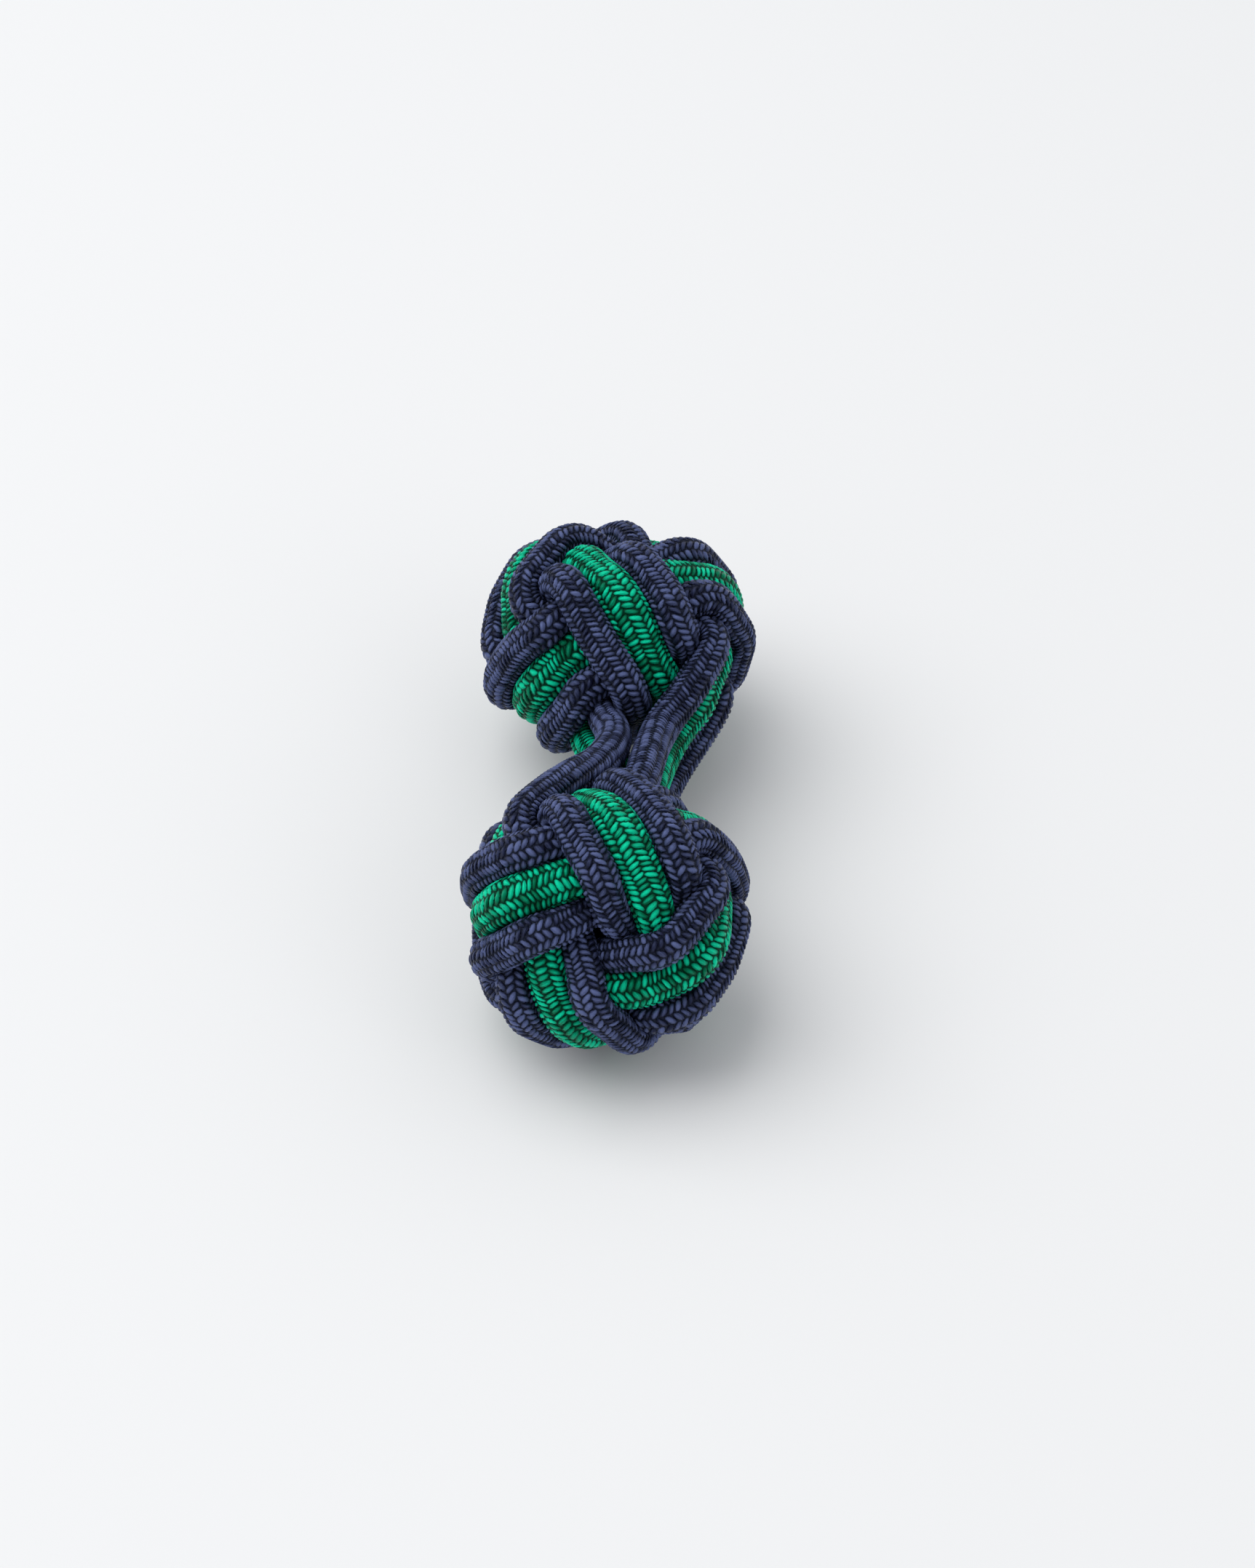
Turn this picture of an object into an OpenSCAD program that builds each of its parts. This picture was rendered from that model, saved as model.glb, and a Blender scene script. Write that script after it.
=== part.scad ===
// Silk knot cuff button: two ball knots joined by a short elastic link.
// Three braided elastic cords, navy, green and navy, lie side by side and are tied together.
// Each cord is one closed loop through both knots and the link, kept as a front and a back half
// whose cut ends meet face to face at the middle of the link.
// Millimetres, +Z up, resting on the plane z = 0, +Y from the front knot to the back knot.

/* [Cords] */
// Width of a cord where it is pressed in the knot
cord_w = 1.5; // [1.3:0.02:1.8]
// Thickness of a pressed cord as a share of its width
cord_flat = 0.85; // [0.7:0.01:0.87]
// Clearance kept between cords that pass each other
cord_gap = 0.28; // [0.24:0.01:0.38]

/* [Link] */
// Clear length of link between the two balls
link_gap = 7; // [5.6:0.2:14]
// How stiffly the link leaves each ball before it bends, in cord spacings
link_pull = 1; // [0.8:0.1:1.6]

/* [Colours] */
// Colour of the two outer cords
navy = [0.15, 0.16, 0.33];
// Colour of the middle cord
green = [0.02, 0.5, 0.35];

/* [Hidden] */
// Spacing of cords that lie side by side
lay = cord_w + cord_gap;
// Mean radius of a ball over its cords
ball_r = 3.45 * lay;

// The knot is a round braid of three leads and four bights, tied with three cords side by side.
// Its band makes eight passes, each from under one crossing, over the next, to under a third.
pass_turn = 135;
// Shape of one pass of the green cord and of the banks of the navy cords beside it. Every other
// pass is its mirror image, top to bottom. Heights above the ball's centre are in cord spacings.
// Columns: height, latitude, lag in longitude, bank on the near pole's side, bank on the far side
PASS = [
    [2.05, -31, -46, -40, -15],
    [2.25, -15, -48, -10, -15],
    [2.85,   1, -53,  30,   5],
    [3.10,  14, -61,  35,  10],
    [3.05,  29, -67,  30,  10],
    [2.85,  43, -68,  30,   0],
    [2.65,  49, -60,  25, -15],
    [2.30,  45, -51,  10, -40],
];
rows = len(PASS);
// The navy cords lie this far from the green one, in cord spacings
lane_pitch = 0.95;
// The two layers of cords in the link lie this far apart, in cord spacings
layer_pitch = 0.85;

// The ball is drawn out from pole to pole by this factor, as the cords inside it fill it
pole_stretch = 1.15;

// One square edge of the braid is left out at the link's pole, and the band leaves there.
// Passes at which the band has come in under its first crossing and starts to go out
first_pass = 0.9;
last_pass = 8.45;
// How the link leaves each ball and how the band bends from it. The pulls say how strongly each
// curve between root and band leaves its two ends; they and the height are in cord spacings.
// Columns: tilt from the pole, turn about it, turn of the link's flat side, height of the root,
// pull at the root and at the band going in, pull at the root and at the band coming out
FRONT_EXIT = [30, 45, 42.5, 3.9, 1.75, 3.25, 3.5, 1.75];
BACK_EXIT = [50, 27.5, 42.5, 4.1, 2.5, 2, 2.75, 1];

// How the button lies: turn, tilt and roll of each ball's link pole
front_lie = [93.2, 125, 151];
back_lie = [-102.5, 141.6, 132];
// Each ball's centre, in cord spacings: sideways, lengthways from its even share, and its height
front_at = [-0.28, -0.027, 3.952];
back_at = [0.159, -0.027, 3.663];

// Sections per pass, per curve at the root and along the whole link, and sides of a cord
pass_rings = 14;
root_rings = 7;
link_rings = 8;
cord_sides = 8;
// Small step in passes for taking directions
tiny = 0.001;

reach = ball_r + link_gap / 2;

// Each knot: centre of its ball, how it lies and how the link leaves it
FRONT = [lay * front_at - [0, reach, 0], front_lie, FRONT_EXIT];
BACK = [lay * back_at + [0, reach, 0], back_lie, BACK_EXIT];

function mix(a, b, s) = a * (1 - s) + b * s;
function unit(v) = v / norm(v);
function square_to(v, axis) = unit(v - axis * (v * axis));

// Cubic from a to b that leaves along ta and arrives along tb
function bridge(a, ta, b, tb, s) =
    (2 * s * s * s - 3 * s * s + 1) * a + (s * s * s - 2 * s * s + s) * ta
    + (3 * s * s - 2 * s * s * s) * b + (s * s * s - s * s) * tb;

// Smooth curve through four rows, at share s of the way from the second to the third
function spline(p, s) =
    p[1] + s / 2 * (p[2] - p[0] + s * (2 * p[0] - 5 * p[1] + 4 * p[2] - p[3]
    + s * (3 * p[1] - 3 * p[2] + p[3] - p[0])));

// Row i of the route counted through all passes, as height, latitude, longitude and two banks
function route_row(i) =
    let (pass = floor(i / rows), row = PASS[i - pass * rows], even = pass % 2 == 0)
    [row[0], even ? row[1] : -row[1], row[2] + pass_turn * i / rows,
        even ? row[3] : row[4], even ? row[4] : row[3]];

// Route values at pass u
function route(u) =
    let (i = floor(u * rows))
    spline([for (k = [i - 1 : i + 2]) route_row(k)], u * rows - i);

// Centre of the green cord at pass u, in a ball whose link pole is +Z
function green_centre(u) =
    let (v = route(u))
    v[0] * [cos(v[1]) * cos(v[2]), cos(v[1]) * sin(v[2]), sin(v[1])];

// Directions at pass u: along the band, to its right and outward
function band_along(u) = unit(green_centre(u + tiny) - green_centre(u - tiny));
function band_right(u) = unit(cross(band_along(u), green_centre(u)));
function band_out(u) = cross(band_right(u), band_along(u));

// Centre of the cord in a lane: 1 is the navy on the link's side, 0 green, -1 the outer navy
function lane_centre(u, lane) =
    lane == 0 ? green_centre(u) :
    let (bank = lane > 0 ? route(u)[3] : route(u)[4])
    green_centre(u) + lane_pitch * (lane * cos(bank) * band_right(u) + sin(bank) * band_out(u));
function lane_along(u, lane) = unit(lane_centre(u + tiny, lane) - lane_centre(u - tiny, lane));

// Frame of the link's root in the ball: outward, along its flat side and through its two layers
function root_out(exit) =
    [sin(exit[0]) * cos(exit[1]), sin(exit[0]) * sin(exit[1]), cos(exit[0])];
function root_wide(exit) = square_to([cos(exit[2]), sin(exit[2]), 0], root_out(exit));
function root_deep(exit) = cross(root_out(exit), root_wide(exit));
function root_centre(exit, lane, layer) =
    exit[3] * root_out(exit) + lane * lane_pitch * root_wide(exit)
    + layer * layer_pitch / 2 * root_deep(exit);

// Stations of a cord in the ball, each a centre and an outward direction, from root to root
function knot_stations(exit, lane) =
    let (
        passes = ceil((last_pass - first_pass) * pass_rings),
        start = lane_centre(first_pass, lane),
        end = lane_centre(last_pass, lane)
    )
    concat(
        [for (i = [0 : root_rings - 1]) let (s = i / root_rings) [
            bridge(root_centre(exit, lane, 1), -exit[4] * root_out(exit),
                start, exit[5] * lane_along(first_pass, lane), s),
            mix(root_deep(exit), band_out(first_pass), s)]],
        [for (i = [0 : passes]) let (u = mix(first_pass, last_pass, i / passes))
            [lane_centre(u, lane), band_out(u)]],
        [for (i = [1 : root_rings]) let (s = i / root_rings) [
            bridge(end, exit[7] * lane_along(last_pass, lane),
                root_centre(exit, lane, -1), exit[6] * root_out(exit), s),
            mix(band_out(last_pass), -root_deep(exit), s)]]
    );

// Point or direction of the ball drawn out from pole to pole
function stretched(v) = [v.x, v.y, pole_stretch * v.z];

// Direction v of the ball turned to the way its knot lies
function turned(v, lie) =
    let (
        a = [v.x * cos(lie[2]) - v.y * sin(lie[2]), v.x * sin(lie[2]) + v.y * cos(lie[2]), v.z],
        b = [a.x * cos(lie[1]) + a.z * sin(lie[1]), a.y, a.z * cos(lie[1]) - a.x * sin(lie[1])]
    )
    [b.x * cos(lie[0]) - b.y * sin(lie[0]), b.x * sin(lie[0]) + b.y * cos(lie[0]), b.z];
function placed(p, knot) = knot[0] + lay * turned(stretched(p), knot[1]);

// The link's middle line and frame at share s from the front root to the back root
link_from = placed(FRONT_EXIT[3] * root_out(FRONT_EXIT), FRONT);
link_to = placed(BACK_EXIT[3] * root_out(BACK_EXIT), BACK);
link_leave = lay * link_pull * turned(unit(stretched(root_out(FRONT_EXIT))), front_lie);
link_arrive = -lay * link_pull * turned(unit(stretched(root_out(BACK_EXIT))), back_lie);
function link_centre(s) = bridge(link_from, link_leave, link_to, link_arrive, s);
function link_along(s) = unit(link_centre(s + tiny) - link_centre(s - tiny));
function link_wide(s) =
    let (from = turned(root_wide(FRONT_EXIT), front_lie), to = turned(root_wide(BACK_EXIT), back_lie))
    square_to(mix(from, to, s), link_along(s));
function link_deep(s) = cross(link_along(s), link_wide(s));
function link_station(lane, layer, s) = [
    link_centre(s) + lay * (lane * lane_pitch * link_wide(s) + layer * layer_pitch / 2 * link_deep(s)),
    layer * link_deep(s)];

// All stations of one half cord, from the middle of the link round the knot and back to it,
// with one more at each end that only gives the direction there. Side is 1 in front, -1 at the back
half = link_rings / 2;
function half_stations(knot, lane, side) =
    let (share = [for (i = [0 : half + 1]) side > 0 ? i / link_rings : 1 - i / link_rings])
    concat(
        [for (i = [half + 1 : -1 : 1]) link_station(lane, side, share[i])],
        [for (p = knot_stations(knot[2], lane)) [placed(p[0], knot), turned(p[1], knot[1])]],
        [for (i = [1 : half + 1]) link_station(lane, -side, share[i])]
    );

// Eight-sided oval of a cord at station i
function section(stations, i) =
    let (
        along = unit(stations[i + 1][0] - stations[i - 1][0]),
        out = square_to(stations[i][1], along),
        right = cross(along, out)
    )
    [for (k = [0 : cord_sides - 1]) let (a = 360 * (k + 0.5) / cord_sides)
        stations[i][0] + cord_w / 2 * (cos(a) * right + cord_flat * sin(a) * out)];

// Solid swept through the stations
module swept_cord(stations) {
    rings = len(stations) - 2;
    points = [for (i = [1 : rings]) each section(stations, i)];
    sides = [for (i = [0 : rings - 2], k = [0 : cord_sides - 1])
        let (a = i * cord_sides + k, b = i * cord_sides + (k + 1) % cord_sides)
        [a, b, b + cord_sides, a + cord_sides]];
    near_cap = [for (k = [cord_sides - 1 : -1 : 0]) k];
    far_cap = [for (k = [0 : cord_sides - 1]) (rings - 1) * cord_sides + k];
    polyhedron(points, concat([near_cap], sides, [far_cap]), convexity = 20);
}

module front_knot_inner_navy() { color(navy) swept_cord(half_stations(FRONT, 1, 1)); }
module front_knot_green() { color(green) swept_cord(half_stations(FRONT, 0, 1)); }
module front_knot_outer_navy() { color(navy) swept_cord(half_stations(FRONT, -1, 1)); }
module back_knot_inner_navy() { color(navy) swept_cord(half_stations(BACK, 1, -1)); }
module back_knot_green() { color(green) swept_cord(half_stations(BACK, 0, -1)); }
module back_knot_outer_navy() { color(navy) swept_cord(half_stations(BACK, -1, -1)); }

front_knot_inner_navy();
front_knot_green();
front_knot_outer_navy();
back_knot_inner_navy();
back_knot_green();
back_knot_outer_navy();
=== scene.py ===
from math import cos, pi, radians, sin

import bmesh
import bpy
import numpy as np
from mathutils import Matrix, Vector


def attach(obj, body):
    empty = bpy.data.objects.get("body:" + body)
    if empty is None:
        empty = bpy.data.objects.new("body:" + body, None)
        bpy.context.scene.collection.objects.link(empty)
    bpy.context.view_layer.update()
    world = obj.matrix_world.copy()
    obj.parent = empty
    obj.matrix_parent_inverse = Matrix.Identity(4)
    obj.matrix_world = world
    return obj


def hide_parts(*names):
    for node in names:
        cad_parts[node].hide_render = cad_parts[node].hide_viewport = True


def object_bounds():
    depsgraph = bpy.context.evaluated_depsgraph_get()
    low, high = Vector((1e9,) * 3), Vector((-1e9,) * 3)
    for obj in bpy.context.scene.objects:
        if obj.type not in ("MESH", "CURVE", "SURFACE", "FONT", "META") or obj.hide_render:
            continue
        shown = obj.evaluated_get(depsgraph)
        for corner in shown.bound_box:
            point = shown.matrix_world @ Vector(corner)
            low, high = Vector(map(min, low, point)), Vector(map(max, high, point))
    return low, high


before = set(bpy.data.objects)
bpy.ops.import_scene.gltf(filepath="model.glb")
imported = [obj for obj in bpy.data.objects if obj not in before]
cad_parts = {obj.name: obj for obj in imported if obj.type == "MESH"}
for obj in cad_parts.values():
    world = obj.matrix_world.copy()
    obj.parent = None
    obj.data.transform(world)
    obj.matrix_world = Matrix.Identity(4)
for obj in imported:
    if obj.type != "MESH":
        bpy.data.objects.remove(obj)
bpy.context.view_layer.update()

# Camera
# The button lies on a table and is seen from in front and above, from the outer face of its front
# knot, through a long lens.
photo_width, photo_height = 1725, 2156
photo_px_per_m = 28900
camera_elevation = radians(42)
lens_mm, sensor_mm = 120, 36
# Where the point that the camera aims at stands in the photograph, and its height over the table
aim_px = (844, 1070)
aim_height = 0.0066
nearest, farthest = 0.01, 20

aim = Vector((0, 0, aim_height))
camera_data = bpy.data.cameras.new("camera")
camera_data.lens, camera_data.sensor_width = lens_mm, sensor_mm
camera_data.clip_start, camera_data.clip_end = nearest, farthest
camera = bpy.data.objects.new("camera", camera_data)
bpy.context.collection.objects.link(camera)
towards_camera = Vector((0, -cos(camera_elevation), sin(camera_elevation)))
camera_up = Vector((0, sin(camera_elevation), cos(camera_elevation)))
camera_distance = photo_height / photo_px_per_m * lens_mm / sensor_mm
off_right = (photo_width / 2 - aim_px[0]) / photo_px_per_m
off_up = (aim_px[1] - photo_height / 2) / photo_px_per_m
camera.location = (aim + towards_camera * camera_distance
                   + Vector((off_right, 0, 0)) + camera_up * off_up)
camera.rotation_mode = "QUATERNION"
camera.rotation_quaternion = (-towards_camera).to_track_quat("-Z", "Y")
bpy.context.scene.camera = camera
bpy.context.scene.view_settings.view_transform = "Standard"

# Route of the three cords
# Three elastic cords lie side by side as one band. The band is tied as a round braid of three leads
# and four bights in each ball, and both its ends leave through one pole as the link to the other ball.
# Lengths in this section are in cord spacings, as in the part's source.
# Spacing of cords that lie side by side, in metres
lay = 0.00178
ball_radius = 3.45
link_gap = 0.007 / lay
link_pull = 1.0
pass_turn = 135
# Columns: height, latitude, lag in longitude, bank on the near pole's side, bank on the far side
PASS = np.array([
    [2.05, -31, -46, -40, -15],
    [2.25, -15, -48, -10, -15],
    [2.85, 1, -53, 30, 5],
    [3.10, 14, -61, 35, 10],
    [3.05, 29, -67, 30, 10],
    [2.85, 43, -68, 30, 0],
    [2.65, 49, -60, 25, -15],
    [2.30, 45, -51, 10, -40],
])
lane_pitch, layer_pitch = 0.95, 0.85
# Passes at which the band has come in under its first crossing and starts to go out
first_pass, last_pass = 0.9, 8.45
# Columns: tilt from the pole, turn about it, turn of the link's flat side, height of the root,
# pull at the root and at the band going in, pull at the root and at the band coming out
FRONT_EXIT = [30, 45, 42.5, 3.9, 1.75, 3.25, 3.5, 1.75]
BACK_EXIT = [50, 27.5, 42.5, 4.1, 2.5, 2, 2.75, 1]
# Turn, tilt and roll of each ball, about ten degrees from the source's, as the photograph shows them
front_lie, back_lie = [86.9, 115, 144.6], [-103.6, 148.8, 124.5]
# The ball is drawn out from pole to pole, as the cords inside it fill it
pole_stretch = np.array([1, 1, 1.15])
reach = ball_radius + link_gap / 2
front_at = np.array([-0.28, -0.027 - reach, 3.952])
back_at = np.array([0.1, 0.3 + reach, 3.75])
# Points on the band in a ball, on each bend between band and root, and on the link
band_points, bend_points, link_points = 960, 120, 40
tiny = 0.001


def unit(v):
    return v / np.linalg.norm(v, axis=-1, keepdims=True)


def square_to(v, axis):
    """Direction of v with what runs along the axis taken away."""
    return unit(v - axis * (v * axis).sum(-1, keepdims=True))


def bridge(a, ta, b, tb, s):
    """Smooth line from a to b that leaves along ta and arrives along tb."""
    s = np.asarray(s, float)[:, None]
    return ((2 * s**3 - 3 * s**2 + 1) * a + (s**3 - 2 * s**2 + s) * ta
            + (3 * s**2 - 2 * s**3) * b + (s**3 - s**2) * tb)


def route_rows(i):
    """Rows of the table for whole places, with every other pass mirrored and each turned on."""
    passes = i // len(PASS)
    row = PASS[i % len(PASS)]
    even = (passes % 2 == 0)[:, None]
    near, far = row[:, 3:4], row[:, 4:5]
    return np.hstack([row[:, :1], np.where(even, row[:, 1:2], -row[:, 1:2]),
                      row[:, 2:3] + pass_turn * i[:, None] / len(PASS),
                      np.where(even, near, far), np.where(even, far, near)])


def route(u):
    """The table read smoothly at any place, counted in passes."""
    u = np.atleast_1d(u) * len(PASS)
    i = np.floor(u).astype(int)
    s = (u - i)[:, None]
    p = [route_rows(i + k) for k in (-1, 0, 1, 2)]
    return p[1] + s / 2 * (p[2] - p[0] + s * (2 * p[0] - 5 * p[1] + 4 * p[2] - p[3]
                                              + s * (3 * p[1] - 3 * p[2] + p[3] - p[0])))


def green_centre(u):
    """Centre of the green cord, from the ball's centre."""
    v = route(u)
    lat, lon = np.radians(v[:, 1]), np.radians(v[:, 2])
    return v[:, :1] * np.stack([np.cos(lat) * np.cos(lon), np.cos(lat) * np.sin(lon), np.sin(lat)], 1)


def band_frame(u):
    """Directions along the band, across it and outwards."""
    along = unit(green_centre(u + tiny) - green_centre(u - tiny))
    right = unit(np.cross(along, green_centre(u)))
    return along, right, np.cross(right, along)


def lane_centre(u, lane):
    """Centre of the cord in one lane, banked to the side of the green cord."""
    if lane == 0:
        return green_centre(u)
    bank = np.radians(route(u)[:, 3 if lane > 0 else 4])[:, None]
    right, out = band_frame(u)[1:]
    return green_centre(u) + lane_pitch * (lane * np.cos(bank) * right + np.sin(bank) * out)


def root_frame(way_out):
    """Directions of the link at its root: outwards, across its flat side and through it."""
    tilt, turn, flat = np.radians(way_out[:3])
    out = np.array([sin(tilt) * cos(turn), sin(tilt) * sin(turn), cos(tilt)])
    wide = square_to(np.array([cos(flat), sin(flat), 0]), out)
    return out, wide, np.cross(out, wide)


def knot_line(way_out, lane):
    """Centres and outward directions of one cord in its ball, from root to root."""
    out, wide, deep = root_frame(way_out)
    root = way_out[3] * out + lane * lane_pitch * wide
    u = np.linspace(first_pass, last_pass, band_points)
    way = lane_centre(u, lane)
    start, finish = unit(way[1] - way[0]), unit(way[-1] - way[-2])
    outward = band_frame(u)[2]
    s = np.linspace(0, 1, bend_points)
    rise = bridge(root + layer_pitch / 2 * deep, -way_out[4] * out, way[0], way_out[5] * start, s)[:-1]
    leave = bridge(way[-1], way_out[7] * finish, root - layer_pitch / 2 * deep, way_out[6] * out, s)[1:]
    rise_out = deep * (1 - s[:-1, None]) + outward[0] * s[:-1, None]
    leave_out = outward[-1] * (1 - s[1:, None]) - deep * s[1:, None]
    return np.vstack([rise, way, leave]), np.vstack([rise_out, outward, leave_out])


def turning(lie):
    """Matrix that sets a ball as it lies."""
    turn, tilt, roll = np.radians(lie)
    about_z = [np.array([[cos(a), -sin(a), 0], [sin(a), cos(a), 0], [0, 0, 1]]) for a in (turn, roll)]
    about_y = np.array([[cos(tilt), 0, sin(tilt)], [0, 1, 0], [-sin(tilt), 0, cos(tilt)]])
    return about_z[0] @ about_y @ about_z[1]


def link_lines(lane):
    """Both layers of one lane of the link, from the front root to the back root."""
    ends = [(front_at, turning(front_lie), FRONT_EXIT), (back_at, turning(back_lie), BACK_EXIT)]
    roots = [at + turn @ (way_out[3] * pole_stretch * root_frame(way_out)[0]) for at, turn, way_out in ends]
    outs = [turn @ unit(pole_stretch * root_frame(way_out)[0]) for _, turn, way_out in ends]
    wides = [turn @ root_frame(way_out)[1] for _, turn, way_out in ends]
    s = np.linspace(0, 1, link_points)
    middle = bridge(roots[0], link_pull * outs[0], roots[1], -link_pull * outs[1], s)
    along = unit(np.gradient(middle, axis=0))
    wide = square_to(wides[0] * (1 - s[:, None]) + wides[1] * s[:, None], along)
    deep = np.cross(along, wide)
    line = middle + lane * lane_pitch * wide
    return [(line + side * layer_pitch / 2 * deep, side * deep) for side in (1, -1)]


def even_steps(points, outward, count):
    """The same line with its points at even steps along it."""
    far = np.r_[0, np.cumsum(np.linalg.norm(np.diff(points, axis=0), axis=1))]
    at = np.linspace(0, far[-1], count + 1)[:-1]
    return [np.stack([np.interp(at, far, values[:, k]) for k in range(3)], 1)
            for values in (points, outward)]


def loop_of(lane, count):
    """One closed cord, front half then back half, each from the link's middle to its middle."""
    layers = link_lines(lane)
    half = len(layers[0][0]) // 2
    halves = []
    balls = ((front_at, front_lie, FRONT_EXIT), (back_at, back_lie, BACK_EXIT))
    for going, (at, lie, way_out) in enumerate(balls):
        turn = turning(lie)
        line, outward = knot_line(way_out, lane)
        line, outward = line * pole_stretch @ turn.T + at, outward @ turn.T
        near, near_out = layers[going]
        other, other_out = layers[1 - going]
        if going == 0:
            parts = [(near[half:0:-1], near_out[half:0:-1]), (line, outward),
                     (other[1:half + 1], other_out[1:half + 1])]
        else:
            parts = [(near[half:-1], near_out[half:-1]), (line, outward),
                     (other[-2:half - 1:-1], other_out[-2:half - 1:-1])]
        halves.append(even_steps(*[np.vstack([p[k] for p in parts]) for k in (0, 1)], count))
    return [np.vstack([h[k] for h in halves]) for k in (0, 1)]


# How the cords are pulled tight
# The elastic cords are drawn up until they press on each other, so that they close the gaps of the
# plain route and flatten where they touch.
half_points = 270
# Thickness at which two cords press on each other, as a share of their width
cord_squash = 0.72
tighten_rounds = 220
tension, stiffness = 0.4, 0.12
# Each round pushes pressed cords apart a few times, by a share of how deep they press. Which points
# are near each other is looked up again after several rounds.
pushes, push_share, rounds_per_search = 4, 0.7, 8
# Points are near each other within this reach, in widths of the widest cord
search_reach = 1.35
# Points of one cord that are nearer than this along it don't press on each other
own_reach = 1.5
lanes = {"inner_navy": 1, "green": 0, "outer_navy": -1}
# The two layers of the link are kept together by a light hold, strongest at the link's middle
link_hold, held_points = 0.008, 14
# Width of each cord in the knot: the green one swells between its neighbours
lane_width = np.array([1.02, 1.2, 1.02])
# The outer navy cords are drawn in by this step until they close the pinwheel of the outer face,
# within this reach of its axis and from this depth outwards
gather, gather_reach, gather_depth = 0.045, 1.7, 1.1


def close_pairs(points, loop, place, loop_size, spacing, limit):
    """Pairs of points nearer than the limit that aren't close neighbours on one cord."""
    far = (points**2).sum(1)
    distance = far[:, None] + far[None] - 2 * points @ points.T
    a, b = np.nonzero(np.triu(distance < limit**2, 1))
    steps = np.abs(place[a] - place[b])
    steps = np.minimum(steps, loop_size - steps)
    apart = (loop[a] != loop[b]) | (steps * spacing > own_reach)
    return a[apart], b[apart]


def tighten(lines, outward):
    """Pulls the closed cords tight and pushes them apart where they press on each other."""
    count = lines.shape[1]
    loop = np.repeat(np.arange(len(lines)), count)
    place = np.tile(np.arange(count), len(lines))
    extra = 1 / cord_squash**2 - 1
    width = np.repeat(lane_width, count)
    faces = [(at, -turning(lie)[:, 2]) for at, lie in ((front_at, front_lie), (back_at, back_lie))]
    from_middle = np.minimum(place % half_points, half_points - place % half_points)
    hold = (link_hold * np.exp(-(from_middle / held_points)**2)).reshape(len(lines), count, 1)
    start = lines
    for turn in range(tighten_rounds):
        bow = (np.roll(lines, 1, 1) + np.roll(lines, -1, 1)) / 2 - lines
        even = (np.roll(bow, 1, 1) + np.roll(bow, -1, 1)) / 2 - bow
        lines = lines + tension * bow - stiffness * even + hold * (start - lines)
        for at, axis in faces:
            off = lines[-1] - at
            depth = off @ axis
            off = off - depth[:, None] * axis
            aside = np.linalg.norm(off, axis=1)
            drawn = (depth > gather_depth) & (aside < gather_reach)
            lines[-1, drawn] -= gather * (off / aside[:, None])[drawn]
        along = unit(np.roll(lines, -1, 1) - np.roll(lines, 1, 1))
        normal = square_to(outward, along).reshape(-1, 3)
        points = lines.reshape(-1, 3)
        if turn % rounds_per_search == 0:
            spacing = np.linalg.norm(np.roll(lines, -1, 1) - lines, axis=2).mean()
            a, b = close_pairs(points, loop, place, count, spacing, lane_width.max() * search_reach)
            full_width = (width[a] + width[b]) / 2
        for _ in range(pushes):
            gap = points[a] - points[b]
            na, nb = (gap * normal[a]).sum(1), (gap * normal[b]).sum(1)
            distance = np.sqrt((gap**2).sum(1) + extra * (na**2 + nb**2) / 2)
            press = np.maximum(full_width - distance, 0)
            slope = gap + extra * (na[:, None] * normal[a] + nb[:, None] * normal[b]) / 2
            slope = slope / distance[:, None]
            push = slope / (slope**2).sum(1)[:, None] * press[:, None]
            moved, touching = np.zeros_like(points), np.zeros(len(points))
            np.add.at(moved, a, push / 2)
            np.add.at(moved, b, -push / 2)
            np.add.at(touching, a, press > 0)
            np.add.at(touching, b, press > 0)
            points = points + push_share * moved / np.sqrt(np.maximum(touching, 1))[:, None]
        lines = points.reshape(lines.shape)
    return lines


loops = [loop_of(lane, half_points) for lane in lanes.values()]
cord_lines = tighten(np.array([l[0] for l in loops]), np.array([l[1] for l in loops]))
cord_outward = square_to(np.array([l[1] for l in loops]),
                         unit(np.roll(cord_lines, -1, 1) - np.roll(cord_lines, 1, 1)))

# Braided cover of a cord
# A rubber core in a tubular braid of shiny yarn. Its stitches lie almost across the cord in columns
# that lean left and right by turns, and each stitch is half a step ahead of its neighbours.
columns = 10
stitch_pitch = 0.00026
# Lean in stitches over a column's width, and half length of a stitch in column widths
stitch_lean = 0.7
stitch_reach = 0.57
stitch_relief = 0.00015
sides_per_column = 4
rings_per_stitch = 4
# Width of an unpressed cord over its lane's width, and its thickness as a share of that
swell = 1.08
rest_squash = 0.9
section_sides = 24
# A neighbour within reach flattens the cord where this cosine or more faces it
pressed_reach = 1.25
least_facing, unpressed = 0.2, 9.0
smoothings = 2
# The sides stand at even steps round each pressed section. Its outward face is this far round.
outward_share = 0.25
fine_per_point = 20
merge_distance = 1e-7


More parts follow.
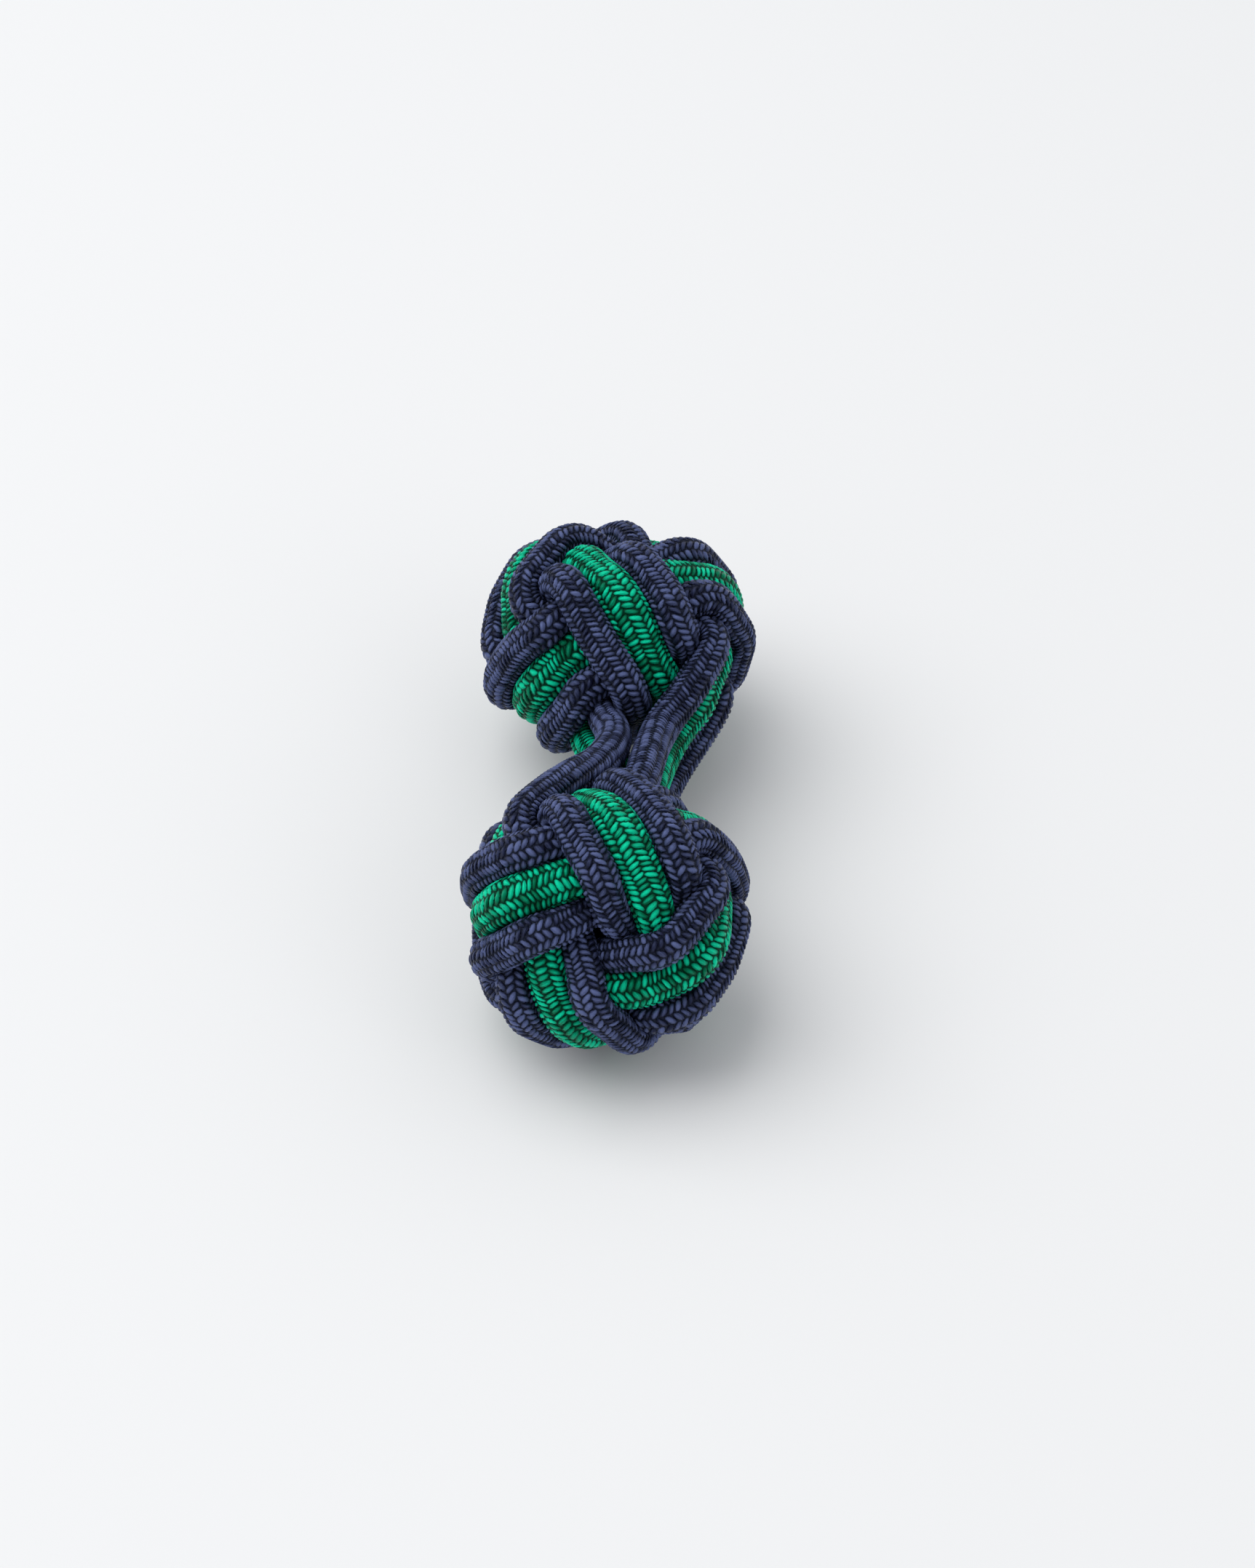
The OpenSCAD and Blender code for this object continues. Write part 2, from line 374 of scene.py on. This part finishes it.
def pressed_radius(lines, outward):
    """How far each cord reaches from its middle line, all round, before it meets its neighbours."""
    count = lines.shape[1]
    along = unit(np.roll(lines, -1, 1) - np.roll(lines, 1, 1)).reshape(-1, 3)
    out = outward.reshape(-1, 3)
    right = np.cross(along, out)
    angle = np.arange(section_sides) * 2 * pi / section_sides
    ways = np.cos(angle)[:, None] * right[:, None] + np.sin(angle)[:, None] * out[:, None]
    width = np.repeat(lane_width, count) * swell
    oval = 1 / np.sqrt(np.cos(angle)**2 + (np.sin(angle) / rest_squash)**2)
    radius = width[:, None] / 2 * oval
    points = lines.reshape(-1, 3)
    loop = np.repeat(np.arange(len(lines)), count)
    place = np.tile(np.arange(count), len(lines))
    spacing = np.linalg.norm(np.roll(lines, -1, 1) - lines, axis=2).mean()
    a, b = close_pairs(points, loop, place, count, spacing, width.max() * pressed_reach)
    for one, other in ((a, b), (b, a)):
        gap = points[other] - points[one]
        distance = np.linalg.norm(gap, axis=1)
        facing = np.einsum("nkd,nd->nk", ways[one], gap / distance[:, None])
        share = distance * width[one] / (width[one] + width[other])
        limit = share[:, None] / np.maximum(facing, least_facing)
        limit = np.where(facing > least_facing, limit, unpressed)
        np.minimum.at(radius, one, limit)
    radius = radius.reshape(len(lines), count, section_sides)
    for _ in range(smoothings):
        radius = (np.roll(radius, 1, 1) + 2 * radius + np.roll(radius, -1, 1)) / 4
        radius = (np.roll(radius, 1, 2) + 2 * radius + np.roll(radius, -1, 2)) / 4
    return radius


def stitch_height(along, around):
    """Height of the braid's stitches, from 0 in a crevice to 1 on a crest."""
    column = np.floor(around)
    across = around - column - 0.5
    height = np.zeros(np.broadcast(along, around).shape)
    for shift in (-1, 0, 1):
        odd = (column + shift) % 2
        offset = across - shift
        step = along + odd / 2 - stitch_lean * (1 - 2 * odd) * offset
        step = step - np.round(step)
        height = np.maximum(height, 1 - (2 * step)**2 - (offset / stitch_reach)**2)
    return np.sqrt(height)


def smooth_closed(values, at):
    """Values along a closed cord, read at places between its points."""
    i = np.floor(at).astype(int)
    s = (at - i).reshape(-1, *([1] * (values.ndim - 1)))
    p = [values[(i + k) % len(values)] for k in (-1, 0, 1, 2)]
    return p[1] + s / 2 * (p[2] - p[0] + s * (2 * p[0] - 5 * p[1] + 4 * p[2] - p[3]
                                              + s * (3 * p[1] - 3 * p[2] + p[3] - p[0])))


def braided_half(name, line, outward, radius, first):
    """One half of a cord as a closed mesh, with a map of its stitches along and around it."""
    fine = np.linspace(first, first + half_points, half_points * fine_per_point + 1)
    points = smooth_closed(line, fine) * lay
    far = np.r_[0, np.cumsum(np.linalg.norm(np.diff(points, axis=0), axis=1))]
    stitches = round(far[-1] / stitch_pitch)
    rings = stitches * rings_per_stitch
    at = np.interp(np.linspace(0, far[-1], rings + 1), far, fine)
    centre = smooth_closed(line, at) * lay
    beside = 1 / fine_per_point
    along = unit(smooth_closed(line, at + beside) - smooth_closed(line, at - beside))
    out = square_to(smooth_closed(outward, at), along)
    right = np.cross(along, out)
    sides = columns * sides_per_column

    braid = bmesh.new()
    braid.loops.layers.uv.new("stitches")
    bmesh.ops.create_grid(braid, x_segments=rings, y_segments=sides, size=1, calc_uvs=True)
    mesh = bpy.data.meshes.new(name)
    braid.to_mesh(mesh)
    braid.free()
    grid = np.zeros(len(mesh.vertices) * 3)
    mesh.vertices.foreach_get("co", grid)
    grid = grid.reshape(-1, 3)
    ring = np.round((grid[:, 0] + 1) / 2 * rings).astype(int)
    side = np.round((grid[:, 1] + 1) / 2 * sides).astype(int) % sides

    # Angles and reaches at even steps round each pressed section
    turn = 2 * pi * (outward_share + np.linspace(0, 1, section_sides + 1))
    rim = np.roll(smooth_closed(radius, at), -round(outward_share * section_sides), 1)
    rim = np.hstack([rim, rim[:, :1]])
    corners = rim[:, :, None] * np.stack([np.cos(turn), np.sin(turn)], 1)
    gone = np.cumsum(np.linalg.norm(np.diff(corners, axis=1), axis=2), 1)
    gone = np.hstack([np.zeros((rings + 1, 1)), gone])
    part = (np.arange(sides) / sides - outward_share) % 1
    angles = np.array([np.interp(part * way[-1], way, turn) for way in gone])
    reaches = np.array([np.interp(a, turn, r) for a, r in zip(angles, rim)])
    angle, reach_out = angles[ring, side], reaches[ring, side] * lay
    relief = stitch_height(ring / rings_per_stitch, side / sides_per_column)
    reach_out = reach_out + stitch_relief * (relief - 1)
    place = (centre[ring] + reach_out[:, None]
             * (np.cos(angle)[:, None] * right[ring] + np.sin(angle)[:, None] * out[ring]))
    mesh.vertices.foreach_set("co", place.ravel())
    chart = np.zeros(len(mesh.loops) * 2)
    mesh.uv_layers["stitches"].data.foreach_get("uv", chart)
    chart = chart.reshape(-1, 2) * [stitches, columns]
    mesh.uv_layers["stitches"].data.foreach_set("uv", chart.ravel())

    braid = bmesh.new()
    braid.from_mesh(mesh)
    bmesh.ops.remove_doubles(braid, verts=braid.verts, dist=merge_distance)
    bmesh.ops.holes_fill(braid, edges=[e for e in braid.edges if e.is_boundary], sides=0)
    bmesh.ops.recalc_face_normals(braid, faces=braid.faces)
    for face in braid.faces:
        face.smooth = True
    braid.to_mesh(mesh)
    braid.free()
    piece = bpy.data.objects.new(name, mesh)
    bpy.context.collection.objects.link(piece)
    return piece


# Yarn of the cover
# Shiny viscose yarn, dyed navy or green. Each stitch is a bundle of fine filaments that lie along it.
# Its colour has painted shade where it dips under its neighbours and a painted highlight on its crest.

# How far stitches stray along and around the cord, in stitches and columns, and the grain of it
stray_along, stray_around = 0.5, 0.3
grain_along, grain_around = 1500, 1300
patch_grain = 420
# Grain of the filaments across a stitch, along it, and from stitch to stitch
filament_grain = (7.0, 1.3, 3.7)
filament_relief = 0.35
braid_bump = 0.00018
# Shares of a stitch's own lot, of larger patches, of its filaments and of its height in its tone.
# The share of its height is a painted highlight that lightens the stitch towards its crest.
lot_share, patch_share, filament_share, painted_highlight_share = 0.6, 0.4, 0.5, 0.5
dark_tone, light_tone = 0.8, 1.45
# Heights of a stitch below which its colour is all painted shade, and above which it has none
painted_shade_height, unshaded_height = 0.15, 0.85
smoothest, roughest = 0.3, 0.46


class Graph:
    """Short words for a material's maths nodes."""

    def __init__(self, material):
        material.use_nodes = True
        self.tree = material.node_tree
        self.tree.nodes.clear()

    def node(self, kind, **settings):
        node = self.tree.nodes.new(kind)
        for key, value in settings.items():
            setattr(node, key, value)
        return node

    def join(self, socket, value):
        if hasattr(value, "is_output"):
            self.tree.links.new(socket, value)
        else:
            socket.default_value = value

    def math(self, operation, *values):
        node = self.node("ShaderNodeMath", operation=operation)
        for socket, value in zip(node.inputs, values):
            self.join(socket, value)
        return node.outputs[0]

    def vector(self, *values):
        node = self.node("ShaderNodeCombineXYZ")
        for socket, value in zip(node.inputs, values):
            self.join(socket, value)
        return node.outputs[0]

    def noise(self, at, scale, detail=2.0):
        node = self.node("ShaderNodeTexNoise", noise_dimensions="3D")
        self.join(node.inputs["Vector"], at)
        node.inputs["Scale"].default_value = scale
        node.inputs["Detail"].default_value = detail
        return node.outputs["Fac"]

    def between(self, value, low, high, low_to=0.0, high_to=1.0):
        node = self.node("ShaderNodeMapRange", interpolation_type="SMOOTHSTEP")
        for socket, given in zip(node.inputs, (value, low, high, low_to, high_to)):
            self.join(socket, given)
        return node.outputs[0]

    def blend(self, share, a, b):
        node = self.node("ShaderNodeMix", data_type="RGBA")
        for socket, given in zip((node.inputs[0], node.inputs[6], node.inputs[7]), (share, a, b)):
            self.join(socket, given)
        return node.outputs[2]


def yarn(name, deep, body, crest, sheen):
    """Braided yarn in one dye, with painted shade in its crevices and a painted highlight on its crests."""
    material = bpy.data.materials.new(name)
    g = Graph(material)
    chart = g.node("ShaderNodeSeparateXYZ")
    uv_map = g.node("ShaderNodeUVMap", uv_map="stitches")
    g.join(chart.inputs[0], uv_map.outputs[0])
    place = g.node("ShaderNodeTexCoord").outputs["Object"]
    along = g.math("MULTIPLY_ADD", g.noise(place, grain_along, 0.0), stray_along,
                   g.math("SUBTRACT", chart.outputs[0], stray_along / 2))
    around = g.math("MULTIPLY_ADD", g.noise(place, grain_around, 0.0), stray_around,
                    g.math("SUBTRACT", chart.outputs[1], stray_around / 2))
    column = g.math("FLOOR", around)
    across = g.math("SUBTRACT", g.math("SUBTRACT", around, column), 0.5)
    side = g.math("SIGN", across)

    def stitch(own_column, offset):
        """Height of a column's stitch, the place across it and its number along the cord."""
        odd = g.math("FLOORED_MODULO", own_column, 2.0)
        lean = g.math("MULTIPLY", g.math("MULTIPLY_ADD", odd, -2 * stitch_lean, stitch_lean), offset)
        step = g.math("SUBTRACT", g.math("MULTIPLY_ADD", odd, 0.5, along), lean)
        number = g.math("ROUND", step)
        step = g.math("SUBTRACT", step, number)
        drop = g.math("MULTIPLY", g.math("MULTIPLY", step, step), 4.0)
        fall = g.math("POWER", g.math("DIVIDE", g.math("ABSOLUTE", offset), stitch_reach), 2.0)
        height = g.math("SUBTRACT", g.math("SUBTRACT", 1.0, drop), fall)
        return g.math("SQRT", g.math("MAXIMUM", height, 0.0)), step, number

    height, step, number = stitch(column, across)
    beside = stitch(g.math("ADD", column, side), g.math("SUBTRACT", across, side))[0]
    relief = g.math("MAXIMUM", height, beside)
    lot = g.node("ShaderNodeTexWhiteNoise", noise_dimensions="2D")
    g.join(lot.inputs["Vector"], g.vector(number, column, 0.0))
    spread = zip((step, around, number), filament_grain)
    filaments = g.noise(g.vector(*[g.math("MULTIPLY", value, grain) for value, grain in spread]), 1.0, 3.0)
    patches = g.noise(place, patch_grain)

    tone_and_highlight = g.math("MULTIPLY_ADD", lot.outputs["Value"], lot_share, g.math("MULTIPLY", patches, patch_share))
    # Painted highlight: the stitch's height lightens its tone towards its crest
    tone_and_highlight = g.math("MULTIPLY_ADD", relief, painted_highlight_share, tone_and_highlight)
    tone_and_highlight = g.math("MULTIPLY_ADD", filaments, filament_share, tone_and_highlight)
    # The tone runs the colour from body to crest: the height share in it is painted highlight, the rest
    # random tone
    colour = g.blend(g.between(tone_and_highlight, dark_tone, light_tone), body, crest)
    # Painted shade: the colour goes to the near-black deep colour in the crevices between stitches
    colour = g.blend(g.between(relief, painted_shade_height, unshaded_height), deep, colour)
    shader = g.node("ShaderNodeBsdfPrincipled")
    g.join(shader.inputs["Base Color"], colour)
    g.join(shader.inputs["Roughness"], g.between(filaments, 0.3, 0.7, smoothest, roughest))
    shader.inputs["Specular IOR Level"].default_value = 0.4
    shader.inputs["Specular Tint"].default_value = sheen
    shader.inputs["Sheen Weight"].default_value = 0.04
    shader.inputs["Sheen Roughness"].default_value = 0.4
    shader.inputs["Sheen Tint"].default_value = sheen
    lift = g.math("MULTIPLY_ADD", filaments, filament_relief, relief)
    bump = g.node("ShaderNodeBump")
    bump.inputs["Strength"].default_value = 1.0
    bump.inputs["Distance"].default_value = braid_bump
    g.join(bump.inputs["Height"], lift)
    g.join(shader.inputs["Normal"], bump.outputs[0])
    output = g.node("ShaderNodeOutputMaterial")
    g.join(output.inputs["Surface"], shader.outputs[0])
    return material


# deep is the painted shade of the crevices; crest is the colour that random tone and painted highlight
# reach
navy_yarn = yarn("navy_yarn", deep=(0.0015, 0.001, 0.001, 1), body=(0.005, 0.005, 0.018, 1),
                 crest=(0.1, 0.125, 0.27, 1), sheen=(0.4, 0.52, 1, 1))
green_yarn = yarn("green_yarn", deep=(0.001, 0.005, 0.002, 1), body=(0.001, 0.1, 0.042, 1),
                  crest=(0.004, 0.68, 0.38, 1), sheen=(0.04, 1, 0.56, 1))

# The six half cords
# Each knot has its half of each of the three cords. The two halves of a cord meet at the middle of
# the link.
cord_radius = pressed_radius(cord_lines, cord_outward)
for knot, first in (("front_knot", 0), ("back_knot", half_points)):
    for k, lane_name in enumerate(lanes):
        node = f"{knot}_{lane_name}"
        piece = braided_half(f"{node}_cord", cord_lines[k], cord_outward[k], cord_radius[k], first)
        dyed = "green" if lane_name == "green" else "navy"
        piece.data.materials.append(green_yarn if dyed == "green" else navy_yarn)
        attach(piece, "root")
        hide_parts(node)

# Floor and light
# A plain pale table top and soft daylight from above, a little from the left.
floor_reach = 2.0
floor_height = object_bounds()[0].z
table = bmesh.new()
bmesh.ops.create_grid(table, x_segments=1, y_segments=1, size=floor_reach)
bmesh.ops.translate(table, verts=table.verts, vec=(0, 0, floor_height))
table_mesh = bpy.data.meshes.new("floor")
table.to_mesh(table_mesh)
table.free()
floor = bpy.data.objects.new("floor", table_mesh)
bpy.context.collection.objects.link(floor)
paper = bpy.data.materials.new("pale_table")
g = Graph(paper)
surface = g.node("ShaderNodeBsdfPrincipled")
surface.inputs["Base Color"].default_value = (0.87, 0.87, 0.87, 1)
surface.inputs["Roughness"].default_value = 0.8
surface.inputs["Specular IOR Level"].default_value = 0.1
g.join(g.node("ShaderNodeOutputMaterial").inputs["Surface"], surface.outputs[0])
floor.data.materials.append(paper)

world = bpy.data.worlds.new("daylight")
bpy.context.scene.world = world
world.use_nodes = True
world.node_tree.nodes["Background"].inputs[0].default_value = (0.95, 0.97, 1.0, 1)
world.node_tree.nodes["Background"].inputs[1].default_value = 0.6


def softbox(name, place, size, power):
    """Square soft light that faces the button."""
    lamp = bpy.data.lights.new(name, "AREA")
    lamp.shape, lamp.size, lamp.energy = "SQUARE", size, power
    light = bpy.data.objects.new(name, lamp)
    light.location = place
    light.rotation_mode = "QUATERNION"
    light.rotation_quaternion = (aim - Vector(place)).to_track_quat("-Z", "Y")
    bpy.context.collection.objects.link(light)


softbox("key_light", place=(-0.25, 0.03, 0.45), size=0.55, power=1.8)
softbox("fill_light", place=(0.3, -0.3, 0.3), size=0.3, power=0.15)
